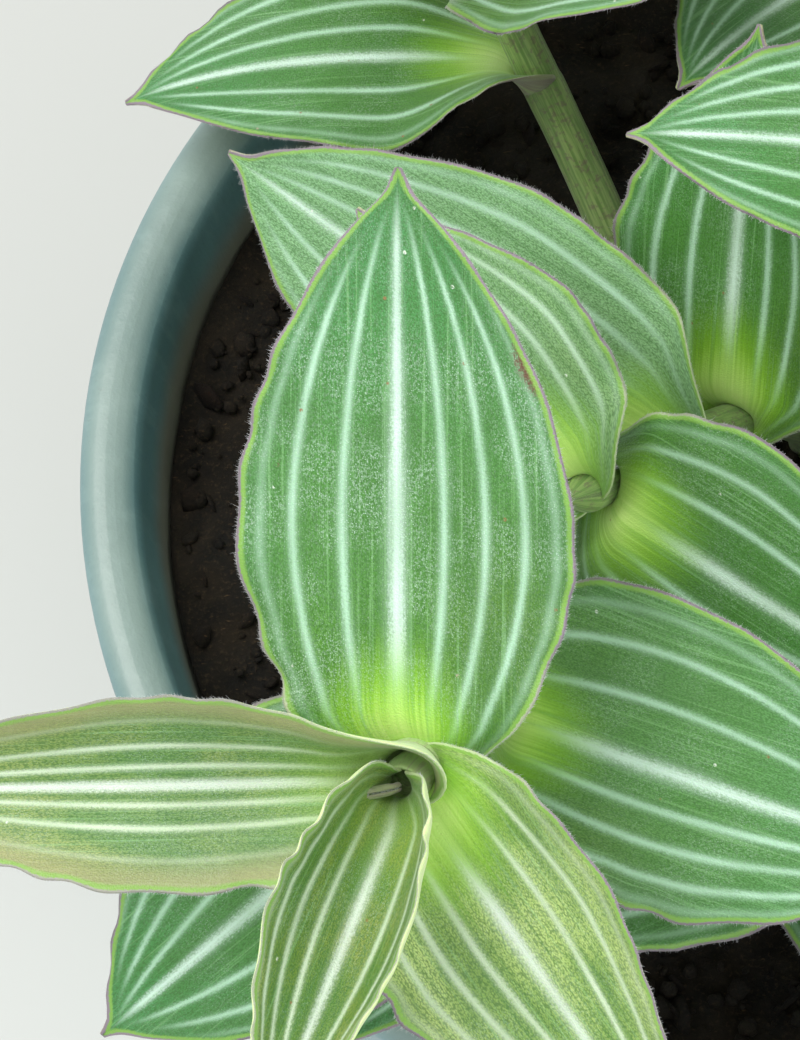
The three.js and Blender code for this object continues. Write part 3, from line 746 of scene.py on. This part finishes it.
def rib_line(one, here, radius, t):
    """Places, face directions and side directions along the middle rib. The angle from the stem opens
    smoothly near the foot and droops with the power 1.5 of t; the places are its running sum. The face turns
    to the light by a share."""
    turn = np.radians(one.azimuth)
    out = here.side * np.cos(turn) + here.across * np.sin(turn)

    def lean(s):
        s = np.clip(s, 0, 1)
        opening = (one.open - FOOT_ANGLE) * smooth(0, BEND_END, s)
        return np.radians(FOOT_ANGLE + opening + one.droop * s**1.5)[:, None]

    middles = (np.arange(RIB_FINE) + 0.5) / RIB_FINE
    angle = lean(middles - 0.5 / RIB_STEPS)
    steps = (np.cos(angle) * here.along + np.sin(angle) * out) * one.length / RIB_FINE
    path = here.at + out * radius + running(steps)
    at = read_along(t, np.linspace(0, 1, RIB_FINE + 1), path)
    angle = lean(t)
    ahead = np.cos(angle) * here.along + np.sin(angle) * out
    inner = np.sin(angle) * here.along - np.cos(angle) * out
    light = UP - ahead * ahead[:, 2:]
    share = (one.light * smooth(0.03, 0.35, t))[:, None]
    face = unit(inner * (1 - share) + light * share)
    return at, face, np.cross(ahead, face)


def leaf_middle(one, here, t, s):
    """The leaf's middle surface at t along it and at -s and s across it. The slope grows with s, so that the
    section is an arc, which wraps the stem at the foot and opens to a shallow trough; near the funnel's rim
    it rolls back. The points are running sums of the slope's cosine and sine. Waves and finer crimps lift
    the margins."""
    radius = stem_radius(one.q) + one.room - FOOT_SUNK
    at, face, side = rib_line(one, here, radius, t)
    sign = np.array([-1.0, 1.0])
    down = t[:, None]
    half = one.half_width * outline(one, t)[:, None] * (1 + one.skew * sign)
    clasp = np.radians(one.clasp + one.grip * sign)
    foot = radius * clasp
    width = foot + (half - foot) * smooth(0, 0.13, down)
    cup = np.radians(one.cup)
    wrap = (clasp - cup) * np.exp(-down / one.fade) + cup
    roll = np.radians(one.roll) * np.exp(-down / ROLL_FADE) * smooth(0.01, 0.06, down)
    swell = one.wave * (np.exp(-down / WAVE_FADE) + WAVE_REST) * smooth(0.04, 0.12, down)
    ripple = swell * np.sin(2 * np.pi * (WAVES * down + 0.37 * one.phase + 0.31 * sign))
    crimp = np.sin(2 * np.pi * (CRIMPS * down + 0.61 * one.phase + 0.4 * sign)
                   + 1.4 * np.sin(2 * np.pi * (2.1 * down + 0.3 * sign)))
    deep = (CRIMP + FOOT_CRIMP * np.exp(-down / CRIMP_FADE)) * one.wave / USUAL_WAVE
    crimp = crimp * (deep * smooth(0.05, 0.12, down) * smooth(1, 0.9, down))
    mid = (s[1:] + s[:-1]) / 2
    halves = []
    for k in (0, 1):
        column = slice(k, k + 1)
        slope = wrap[:, column] * mid - roll * smooth(0.45, 1, mid)
        across, rise = (running(part(slope) * np.diff(s), axis=1) for part in (np.cos, np.sin))
        x = sign[k] * (across * width[:, column] + 0.8 * crimp[:, column] * s**7)
        x = x + one.shift * smooth(0, 0.15, down)
        y = rise * width[:, column] + (ripple[:, column] * s**3 + crimp[:, column] * s**7)
        halves.append(at[:, None] + side[:, None] * x[..., None] + face[:, None] * y[..., None])
    middle = np.concatenate([halves[0][:, :0:-1], halves[1]], axis=1)
    v = np.concatenate([-s[:0:-1], s])
    return middle, v, np.where(v < 0, half[:, :1], half[:, 1:])


def stripe_places(one, t, v, half):
    """Each point's number between the stripes, whole on a stripe and 0 on the rib, the share of the way to
    the next number that a stripe reaches, and its strength."""
    left, right = sorted(one.left, reverse=True), sorted(one.right)
    across = [-1.0, *(-x for x in left), 0.0, *right, 1.0]
    numbers = [-len(left) - 0.5, *range(-len(left), len(right) + 1), len(right) + 0.5]
    number = np.interp(v, across, numbers)
    spacing = half * (np.gradient(v) / np.gradient(number))
    scale = (one.half_width / LEAF_HALF_WIDTH) ** 0.7
    middle = smooth(0.6, 0.3, np.abs(number))
    wide = MIDRIB_WIDTH * (1 - 0.5 * smooth(0.3, 0.95, t))[:, None] * middle
    wide = wide + STRIPE_WIDTH * (1 - 0.45 * smooth(0.45, 1, t))[:, None] * (1 - middle)
    reach = np.minimum(scale * wide / np.maximum(spacing, 0.05), 0.6)
    outer = np.where(number < 0, -number / len(left), number / len(right))
    strength = (1 - 0.6 * smooth(0.72, 1, outer)) * smooth(0.98, 0.84, t[:, None] + 0.12 * outer)
    strength = strength * (0.25 + 0.75 * smooth(0.03, 0.24, t))[:, None]
    return places(number, reach, strength)


def leaf_shell(one, shoot):
    """A closed shell about the middle surface. Rows go from the foot to the point; each is a ring, over the
    upper side and back under the lower. The wall thins to a round margin, the skin swells between the
    stripes, and a groove runs along the rib."""
    here = stem_frame(shoot.line, one.q)
    t = TIP_END * np.linspace(0, 1, one.grid[0] + 1) ** 1.1
    s = np.linspace(0, 1, one.grid[1] + 1) ** 0.93
    middle, v, half = leaf_middle(one, here, t, s)
    down = t[:, None]
    stripes = stripe_places(one, t, v, half)
    puff = SWELL * (0.5 - 0.5 * np.cos(2 * np.pi * stripes[..., 0])) * smooth(0.1, 0.3, down)
    puff = puff * smooth(1, 0.9, np.abs(v))
    normal = unit(np.cross(np.gradient(middle, axis=1), np.gradient(middle, axis=0)))
    from_rib = v * half
    groove = GROOVE * np.exp(-((from_rib / GROOVE_WIDTH) ** 2)) * smooth(0.04, 0.2, down) * (1 - 0.7 * down)
    wall = one.thick * THICKNESS / 2 * np.sqrt(1 - np.abs(v) ** 9) * (1 - 0.5 * smooth(0.9, 1, down))
    within = (np.abs(v) < 1)[:, None]
    upper = middle + normal * (wall + puff - SWELL - groove)[..., None] * within
    lower = middle - normal * (wall - puff + groove)[..., None] * within
    ring = np.concatenate([upper, lower[:, -2:0:-1]], axis=1)
    around = np.concatenate([np.arange(len(v)), np.arange(len(v) - 2, 0, -1)])
    rows, sides, turns = len(t), len(around), len(v) - 1
    before, end = middle[-2:, turns // 2]
    tip = end + TIP_LENGTH * unit(end - before)
    points = np.concatenate([ring.reshape(-1, 3), tip[None]])
    j = np.arange(1, turns)
    caps = [np.stack([j + 1, j, (sides - j) % sides], axis=-1),
            np.stack([j, (sides - j + 1) % sides, sides - j], axis=-1)]
    first = (rows - 1) * sides
    faces = np.concatenate([ring_faces(rows, sides), *caps, fan_faces(sides, rows * sides, first)])
    under = np.arange(sides) >= turns
    below = np.concatenate([np.tile(np.repeat(under, 2), rows - 1), np.ones(2 * len(j), bool), under])
    edge = np.minimum((1 - np.abs(v)) * half, (1 - down) * one.length)
    seed = 13.7 * one.phase + 5.3 * shoot.foot[0] + one.azimuth
    skin = places(from_rib, down * one.length, seed)
    growth = places(down, edge, one.age)
    spots = np.zeros_like(half)
    for spot_t, spot_v, spot_size, strength in one.blemishes:
        far = np.hypot((down - spot_t) * one.length / 2.2, (v - spot_v) * half)
        spots = np.maximum(spots, strength * np.exp(-((far / spot_size) ** 2)))

    def spread(values, last):
        return np.concatenate([values[:, around].reshape(-1, values.shape[-1]), [last]])

    fields = {
        "skin": spread(skin, [0, one.length, seed]), "stripe": spread(stripes, [0, 0.1, 0]),
        "growth": spread(growth, [1, 0, one.age]), "blemish": spread(spots[..., None], [0])[:, 0],
        "bloom": np.full(len(points), one.bloom), "pale": np.full(len(points), one.pale),
    }
    margins = [(middle[:, k], unit(middle[:, k] - middle[:, n]), normal[:, k]) for k, n in ((0, 1), (-1, -2))]
    return points, faces, below, fields, margins


def stripe_group():
    """A shader group: how much of a stripe shows, soft-edged and broken by grain, the fine lines between the
    stripes, and the grain."""
    tree = bpy.data.node_groups.new("leaf_stripes", "ShaderNodeTree")
    for name in ("Stripe", "Lines", "Grain"):
        tree.interface.new_socket(name, in_out="OUTPUT", socket_type="NodeSocketFloat")
    tree.interface.new_socket("Softness", in_out="INPUT", socket_type="NodeSocketFloat")
    given = Shade(tree.nodes.new("NodeGroupInput").outputs["Softness"])
    made = tree.nodes.new("NodeGroupOutput")
    number, reach, strength = parts(noted(tree, "stripe", whole=True))
    skin = noted(tree, "skin", whole=True)
    grain = noise(skin.scaled(5.2, 3.4, 1.0), 1.0, 2.0, 0.75)
    lines = noise(skin.scaled(3.0, 0.045, 1.0), 1.0, 2.0, 0.6)
    off = calc("DIVIDE", calc("PINGPONG", number, 0.5), reach) + (grain - 0.5) * 2.2 + (lines - 0.5) * 0.9
    core = off.step(given, -0.1)
    halo = off.step(2.2, 0.3) * 0.25
    slow = noise(skin.scaled(0.5, 0.09, 1.0), 1.0, 1.0)
    shown = calc("MAXIMUM", core, halo) * strength * (slow * 0.7 + (grain * 0.6 + 0.25))
    for name, value in (("Stripe", calc("MINIMUM", shown, 1.0)), ("Lines", lines), ("Grain", grain)):
        tree.links.new(value.output, made.inputs[name])
    return tree


stripes_shown = stripe_group()


def leaf_material(name, softness, **constants):
    """A soft, thin material, with the notes that both sides of a leaf use and the stripe group."""
    material, tree = new_material(
        name, Subsurface_Weight=0.15, Subsurface_Radius=(0.001, 0.002, 0.0006), **constants)
    skin, growth = (noted(tree, name, whole=True) for name in ("skin", "growth"))
    return (material, tree, skin, parts(growth),
            node(tree, "Group", {"node_tree": stripes_shown}, Softness=softness))


def upper_material():
    """The upper side: grass green, bluer to the point and lime at the foot, with a painted glow of light
    through the leaf adding to its own lime, silver-mint stripes, fine lines, painted glints on its cells,
    painted shade on one half near the foot, a lime margin and a purple-grey edge. Young leaves are more
    olive; some leaves are paler, partly in colour, partly by painted light."""
    material, tree, skin, (t, edge, age), (stripe, lines, grain) = leaf_material(
        "leaf_upper_side", 1.6, Specular_IOR_Level=0.5, Sheen_Weight=0.15, Sheen_Roughness=0.4)
    number = parts(noted(tree, "stripe", whole=True))[0]
    across, along = parts(skin)[:2]
    clouds = noise(skin.scaled(0.16, 0.07, 1.0), 1.0, 3.0, 0.55)
    patchy = clouds.step(0.35, 0.7)

    old = blend(t.step(0.12, 0.4), (90, 146, 36), (80, 140, 54))
    old = lay(t.step(0.4, 0.95), old, 72, 146, 80)
    old = lay(edge.step(6.0, 1.0) * 0.35, old, 80, 140, 84)
    # Painted shade: one half of the leaf, beside the rib towards the foot, darker and more olive.
    shaded_half = across.step(1.0, 10.0) * t.step(0.5, 0.25)
    old = lay(shaded_half * 0.85, old, 86, 128, 30)
    young = blend(patchy, (110, 142, 34), (144, 158, 70))
    half_grown = blend(patchy, (168, 196, 98), (194, 216, 132))
    young = blend(age.step(0.42, 0.54), young, half_grown)
    base = blend(age.step(0.5, 0.95), young, old)
    base = lay(clouds.step(0.62, 0.36) * 0.5, base, 70, 124, 48)
    # The pale share lightens whole leaves towards pale green: partly a paler colour, partly painted light and
    # sheen on leaves in shade and on a glossy one.
    base = lay(noted(tree, "pale"), base, 158, 206, 152)
    rows = node(tree, "TexVoronoi", Vector=skin.scaled(7.0, 3.4, 1.0), Scale=1.0)[0]
    base = lay(rows.step(0.3, 0.75) * 0.65, base, 54, 104, 36)
    base = lay(lines.step(0.5, 0.34) * 0.4, base, 66, 122, 50)
    base = lay(lines.step(0.54, 0.72) * 0.35, base, 150, 202, 138)

    rib = calc("ABSOLUTE", number).step(0.5, 0.2)
    mint = blend(rib, (182, 222, 192), (216, 242, 226))
    cream = blend(rib, (208, 226, 194), (230, 242, 228))
    base = blend(stripe, base, blend(age.step(0.6, 0.95), cream, mint))

    # The foot is lime: partly the leaf's own colour, partly a painted glow of light through the thin leaf,
    # white-green at its middle.
    far = calc("POWER", calc("DIVIDE", across, 9.0), 2.0) + calc("POWER", calc("DIVIDE", along, 15.0), 2.0)
    glow = calc("SQRT", far) + (lines - 0.5) * 0.5
    warmth = age.step(0.36, 0.54) * 0.8 + 0.12
    lime = glow.step(1.2, 0.4) * warmth
    base = lay(lime, base, 156, 216, 44)
    base = lay(glow.step(0.8, 0.2) * warmth, base, 220, 250, 148)

    # Painted glints: pale spots on the cells where light would catch them, strongest on the great leaf.
    near, cell = node(tree, "TexVoronoi", Vector=skin, Scale=5.2)[:2]
    sparkle = node(tree, "SeparateColor", Color=cell)[0]
    patches = noise(skin, 0.15, 3.0).step(0.36, 0.62)
    painted_glints = calc("MAXIMUM", near.step(0.46, 0.1) * sparkle.step(0.25, 1.0), grain.step(0.44, 0.72) * 0.5)
    fewer = t.step(1.1, 0.5) * (1.0 - lime) * (1.0 - shaded_half * 0.6)
    painted_glints = painted_glints * (patches * 0.6 + 0.15) * (fewer * noted(tree, "bloom"))
    base = lay(painted_glints, base, 222, 246, 232)
    near_fleck, fleck_cell = node(tree, "TexVoronoi", Vector=skin, Scale=0.24)[:2]
    warm = node(tree, "SeparateColor", Color=fleck_cell)[0]
    tint = blend(warm.step(0.4, 0.6), (240, 246, 236), (150, 104, 66))
    base = blend(near_fleck.step(0.06, 0.03) * 0.85 * grain.step(0.4, 0.5), base, tint)
    blemish = noted(tree, "blemish")
    spoiled = (blemish + (grain - 0.5) * 1.2).step(0.45, 0.95) * blemish.step(0.05, 0.3)
    base = lay(spoiled, base, 104, 74, 52)

    uneven = edge + (grain - 0.5) * 0.5
    blush = age.step(0.6, 0.4) * age.step(0.3, 0.38) * edge.step(4.5, 1.0)
    base = lay(blush * 0.6, base, 180, 172, 126)
    base = lay(uneven.step(0.95, 0.55) * 0.85, base, 138, 184, 82)
    hem = blend(t.step(0.03, 0.3) * age.step(0.1, 0.55), (196, 214, 162), (146, 132, 142))
    base = blend(uneven.step(0.36, 0.2), base, hem)
    return feed(material, base, grain * 0.25 + 0.3, near * -1.0 + lines * 1.2, 0.05)


def lower_material():
    """The underside: pale yellow green with a purple-brown flush that deepens to the margin, faint stripes,
    and a cream yellow rim of painted light on young leaves, where it rolls outwards."""
    material, _, skin, (_, edge, age), (stripe, lines, grain) = leaf_material(
        "leaf_underside", 2.0, Specular_IOR_Level=0.4, Sheen_Weight=0.35, Sheen_Roughness=0.5)
    clouds = noise(skin.scaled(0.2, 0.06, 1.0), 1.0, 3.0, 0.6)
    base = blend(clouds.step(0.35, 0.65), (186, 210, 130), (210, 226, 160))
    flush = (clouds + lines * 0.5).step(0.66, 0.86) * (1.0 - age * 0.4)
    base = lay(flush, base, 140, 104, 120)
    base = lay(stripe * 0.5, base, 196, 216, 176)
    base = lay(edge.step(3.2, 0.8) * 0.45, base, 140, 108, 124)
    # Painted light: a cream yellow band along the rolled-out margin of young leaves, which faces away from
    # the lamps.
    rolled_edge_light = edge.step(3.4, 2.2) * age.step(0.9, 0.5) * age.step(0.12, 0.25)
    base = lay(rolled_edge_light, base, 226, 242, 174)
    return feed(material, base, grain * 0.2 + 0.45, grain + lines, 0.08)


leaf_sides = [upper_material(), lower_material()]
for shoot in SHOOTS:
    shoot.shells = [leaf_shell(one, shoot) for one in shoot.leaves]
    for one, shell in zip(shoot.leaves, shoot.shells):
        if one.name:
            foliage(shoot, one.name, leaf_sides, [shell])
    rest = [shell for one, shell in zip(shoot.leaves, shoot.shells) if not one.name]
    foliage(shoot, "leaves", leaf_sides, rest)


# The down. Short, soft, colourless hairs stand along the margins of the leaves and fringe the mouths of the
# sheaths; they give the leaves their pale, misty edge.

HAIR_SPACING = 0.15
NEAR_SPACING = 0.07  # on the leaves nearest the eye
HAIR_LENGTH = 0.3
HAIR_RADIUS = 0.017
HAIR_SUNK = 0.08
BARE_FOOT = 0.05  # share of the margin without hairs, at the leaf's foot


def hair_material():
    """Clear, pale lilac, brighter to the hair's end."""
    material, tree = new_material("down", Specular_IOR_Level=0.4, Sheen_Weight=0.5)
    end = noted(tree, "end")
    return feed(material, blend(end, (206, 204, 208), (240, 242, 244)), end * 0.2 + 0.4)


def hairs_along(line, outward, face, seed, spacing):
    """Three-sided spikes strewn along a line. Each leans outwards, and at random to either face and on
    towards the leaf's point. Those that would reach past the CAD box are left out."""
    draw = np.random.default_rng(seed)
    along = running(np.linalg.norm(np.diff(line, axis=0), axis=1))
    count = int(along[-1] / spacing)
    where = np.sort(draw.uniform(0.02, 0.995, count)) * along[-1]
    at, ahead, outward, face = (
        read_along(where, along, values) for values in (line, np.gradient(line, axis=0), outward, face))
    ahead = unit(ahead)
    way = outward + ahead * draw.uniform(-0.2, 0.9, (count, 1))
    way = unit(way + face * draw.normal(0, 0.5, (count, 1)))
    root = at - way * HAIR_SUNK
    one = unit(np.cross(way, ahead + 0.1 * way))
    two = np.cross(way, one)
    tall = HAIR_LENGTH * draw.gamma(4, 1 / 4, (count, 1))
    base = [root + HAIR_RADIUS * (np.cos(a) * one + np.sin(a) * two) for a in np.radians([0, 120, 240])]
    points = np.stack([*base, root + way * tall], axis=1)
    low, high = np.array(cad_box) / MM
    points = points[np.all((points[:, 3] > low) & (points[:, 3] < high), axis=1)]
    faces = np.array([[0, 1, 3], [1, 2, 3], [2, 0, 3], [0, 2, 1]])
    faces = (faces[None] + 4 * np.arange(len(points))[:, None, None]).reshape(-1, 3)
    end = np.tile([0.0, 0, 0, 1], len(points))
    return points.reshape(-1, 3), faces, np.zeros(len(faces), bool), {"end": end}


hair_finish = hair_material()
for number, shoot in enumerate(SHOOTS):
    tufts = []
    for k, (one, shell) in enumerate(zip(shoot.leaves, shoot.shells)):
        begin = int(BARE_FOOT * one.grid[0])
        spacing = NEAR_SPACING if one.name else HAIR_SPACING
        for side, margin in enumerate(shell[4]):
            seed = 1000 * number + 10 * k + side
            tufts.append(hairs_along(*(values[begin:] for values in margin), seed, spacing))
    foliage(shoot, "down", [hair_finish], tufts)


# The stage. A plain pale floor, a large soft light above and to the left, a weaker one from the right and a
# pale surround. The camera looks down on the front left stem's tip.

CAMERA_TILT = 68
CAMERA_AWAY = 400
AIM = (-46.2, -6.9, 62.0)
CAMERA_LENS = 138.5


def floor_material():
    """Pale, matt, very slightly cloudy."""
    material, tree = new_material("floor", Specular_IOR_Level=0.2)
    clouds = noise(in_millimetres(tree), 0.004)
    return feed(material, blend(clouds, (206, 206, 202), (216, 216, 213)), clouds * 0.1 + 0.8)


floor_mesh = bpy.data.meshes.new("floor")
floor_mesh.from_pydata([(-3, -3, 0), (3, -3, 0), (3, 3, 0), (-3, 3, 0)], [], [(0, 1, 2, 3)])
floor_mesh.materials.append(floor_material())
floor = placed("floor", floor_mesh)


def soft_light(name, place, size, power, tint):
    """A square light, "size" metres wide, that faces the plant from its place."""
    light = bpy.data.lights.new(name, "AREA")
    light.shape, light.size, light.energy, light.color = "SQUARE", size, power, tint
    lamp = placed(name, light)
    lamp.location = place
    lamp.rotation_euler = (Vector((0, 0, 0.15)) - Vector(place)).to_track_quat("-Z", "Y").to_euler()


soft_light("key_light", (-0.5, 0.1, 1.0), 0.7, 7.8, (1.0, 0.98, 0.94))
soft_light("fill_light", (0.7, -0.8, 0.7), 0.9, 6.0, (0.95, 0.98, 1.0))
world = bpy.data.worlds.new("surround")
world.use_nodes = True
sky = world.node_tree.nodes["Background"].inputs
sky["Color"].default_value = (0.92, 0.97, 0.98, 1)
sky["Strength"].default_value = 0.75
bpy.context.scene.world = world
bpy.context.scene.view_settings.view_transform = "Standard"

tilt = np.radians(CAMERA_TILT)
camera_up = np.array([0, np.sin(tilt), np.cos(tilt)])
camera_back = np.array([0, -np.cos(tilt), np.sin(tilt)])
rim_middle = POT_HEIGHT * UP
aim = rim_middle + AIM[0] * np.array([1, 0, 0]) + AIM[1] * camera_up + AIM[2] * camera_back
camera = placed("camera", bpy.data.cameras.new("camera"))
camera.data.lens = CAMERA_LENS
camera.data.sensor_width = 36
camera.data.clip_start, camera.data.clip_end = 0.01, 20
camera.location = (aim + CAMERA_AWAY * camera_back) * MM
camera.rotation_euler = (np.pi / 2 - tilt, 0, 0)
bpy.context.scene.camera = camera
